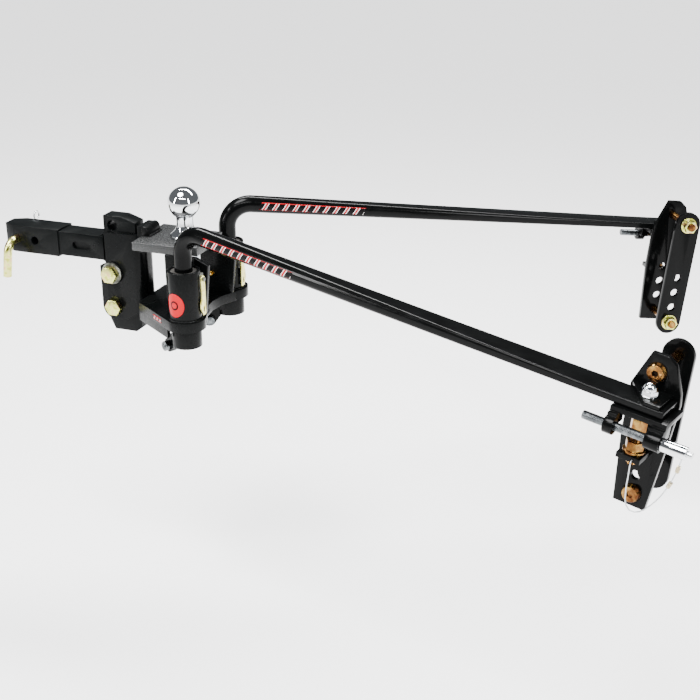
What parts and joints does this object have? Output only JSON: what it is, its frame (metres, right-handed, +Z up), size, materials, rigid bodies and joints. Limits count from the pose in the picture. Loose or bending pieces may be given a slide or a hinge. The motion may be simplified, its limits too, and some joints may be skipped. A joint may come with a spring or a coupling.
{
  "type": "weight distribution hitch",
  "caption": "Trailer hitch with a receiver shank, a tilting ball head, swivelling spring bars and clamp-on frame brackets with jack-screw bar carriers.",
  "frame": {"origin": "centre of the hitch pin hole in the receiver shank, on the shank's axis", "axes": "+X rearwards towards the trailer, +Y to the vehicle's right, +Z up"},
  "size_m": [1.3202, 1.0021, 0.3258],
  "materials": {
    "black_forging": "forged steel under satin black paint, faintly pebbled",
    "black_paint": "semi-gloss black powder coat on welded plate",
    "gloss_black": "gloss black powder coat",
    "yellow_zinc": "yellow chromate zinc plating",
    "copper_zinc": "copper-gold iridescent zinc plating",
    "grey_steel": "dull grey zinc",
    "bright_zinc": "bright zinc plated steel",
    "chrome": "polished chrome",
    "friction_liner": "dull brown friction lining",
    "brass": "bright brass",
    "steel_cable": "twisted stainless strand",
    "crimp_metal": "soft crimped metal"
  },
  "bodies": {
    "shank": {"shank": "black_forging", "drop_bar": "black_forging", "tilt_bolt": "yellow_zinc", "tilt_nut": "yellow_zinc", "tilt_washers": "grey_steel", "pivot_bolt": "yellow_zinc", "pivot_nut": "yellow_zinc"},
    "hitch_pin": {"hitch_pin": "yellow_zinc"},
    "hitch_pin_clip": {"hitch_pin_clip": "bright_zinc"},
    "head": {"channel": "black_paint", "cross_block": "black_paint", "platform": "black_paint", "lower_plate": "black_paint", "side_plates": "black_paint", "socket_left": "black_paint", "socket_right": "black_paint", "liner_left": "friction_liner", "liner_right": "friction_liner", "collar_left": "black_paint", "collar_right": "black_paint", "collar_bolts": "grey_steel", "grease_fittings": "brass", "clip_mounts": "black_paint", "hitch_ball": "chrome", "ball_washer": "grey_steel", "ball_nut": "bright_zinc"},
    "clip_left": {"bar_clip_left": "yellow_zinc"},
    "clip_right": {"bar_clip_right": "yellow_zinc"},
    "bar_left": {"spring_bar_left": "gloss_black"},
    "carrier_left": {"carrier_left": "gloss_black", "hold_down_left": "gloss_black", "hold_down_nuts_left": "chrome", "jack_screw_left": "copper_zinc"},
    "bracket_left": {"frame_plate_left": "gloss_black", "strap_plate_left": "gloss_black", "clamp_bolts_left": "copper_zinc", "clamp_nuts_left": "yellow_zinc", "jack_nut_left": "copper_zinc", "lanyard_cable": "steel_cable", "lanyard_sleeves": "crimp_metal"},
    "release_pin_left": {"release_pin_left": "bright_zinc"},
    "pin_button_left": {"pin_button_left": "bright_zinc"},
    "bar_right": {"spring_bar_right": "gloss_black"},
    "carrier_right": {"carrier_right": "gloss_black", "hold_down_right": "gloss_black", "hold_down_nuts_right": "chrome", "jack_screw_right": "copper_zinc"},
    "bracket_right": {"frame_plate_right": "gloss_black", "strap_plate_right": "gloss_black", "clamp_bolts_right": "copper_zinc", "clamp_nuts_right": "yellow_zinc", "jack_nut_right": "copper_zinc"},
    "release_pin_right": {"release_pin_right": "bright_zinc"},
    "pin_button_right": {"pin_button_right": "bright_zinc"}
  },
  "joints": [
    {"name": "head_tilt", "type": "hinge", "parent": "shank", "child": "head", "pos_m": [0.203, 0, -0.11], "axis": [0, 1, 0], "range_deg": [-2, 2]},
    {"name": "hitch_pin_turn", "type": "hinge", "parent": "shank", "child": "hitch_pin", "pos_m": [0, 0, 0], "axis": [0, 1, 0], "range_deg": [-60, 25]},
    {"name": "pin_clip_pull", "type": "slide", "parent": "hitch_pin", "child": "hitch_pin_clip", "axis": [0, 0, 1], "range_m": [0, 0.03]},
    {"name": "clip_swing_left", "type": "hinge", "parent": "head", "child": "clip_left", "pos_m": [0.4153, -0.0815, -0.012], "axis": [1, 0, 0], "range_deg": [-20, 20]},
    {"name": "bar_swing_left", "type": "hinge", "parent": "head", "child": "bar_left", "pos_m": [0.385, -0.0895, 0], "axis": [0, 0, -1], "range_deg": [-10, 24]},
    {"name": "carrier_slide_left", "type": "slide", "parent": "bar_left", "child": "carrier_left", "axis": [0.9555, -0.2776, -0.1002], "range_m": [-0.012, 0.012]},
    {"name": "bracket_lift_left", "type": "slide", "parent": "carrier_left", "child": "bracket_left", "axis": [0.0962, -0.028, 0.995], "range_m": [-0.008, 0.014], "deforming": ["lanyard_cable", "lanyard_sleeves"]},
    {"name": "release_pin_pull_left", "type": "slide", "parent": "carrier_left", "child": "release_pin_left", "axis": [0.9555, -0.2776, -0.1002], "range_m": [0, 0.11]},
    {"name": "pin_button_press_left", "type": "slide", "parent": "release_pin_left", "child": "pin_button_left", "axis": [0.9555, -0.2776, -0.1002], "range_m": [-0.004, 0], "stiffness_N_per_m": 400, "springref_m": 0.001},
    {"name": "clip_swing_right", "type": "hinge", "parent": "head", "child": "clip_right", "pos_m": [0.4153, 0.0815, -0.012], "axis": [1, 0, 0], "range_deg": [-20, 20]},
    {"name": "bar_swing_right", "type": "hinge", "parent": "head", "child": "bar_right", "pos_m": [0.385, 0.0895, 0], "axis": [0, 0, 1], "range_deg": [-24, 10]},
    {"name": "carrier_slide_right", "type": "slide", "parent": "bar_right", "child": "carrier_right", "axis": [0.8599, 0.5005, -0.1002], "range_m": [-0.012, 0.012]},
    {"name": "bracket_lift_right", "type": "slide", "parent": "carrier_right", "child": "bracket_right", "axis": [0.0866, 0.0504, 0.995], "range_m": [0, 0.014]},
    {"name": "release_pin_pull_right", "type": "slide", "parent": "carrier_right", "child": "release_pin_right", "axis": [0.8599, 0.5005, -0.1002], "range_m": [0, 0.11]},
    {"name": "pin_button_press_right", "type": "slide", "parent": "release_pin_right", "child": "pin_button_right", "axis": [0.8599, 0.5005, -0.1002], "range_m": [-0.004, 0], "stiffness_N_per_m": 400, "springref_m": 0.001}
  ]
}
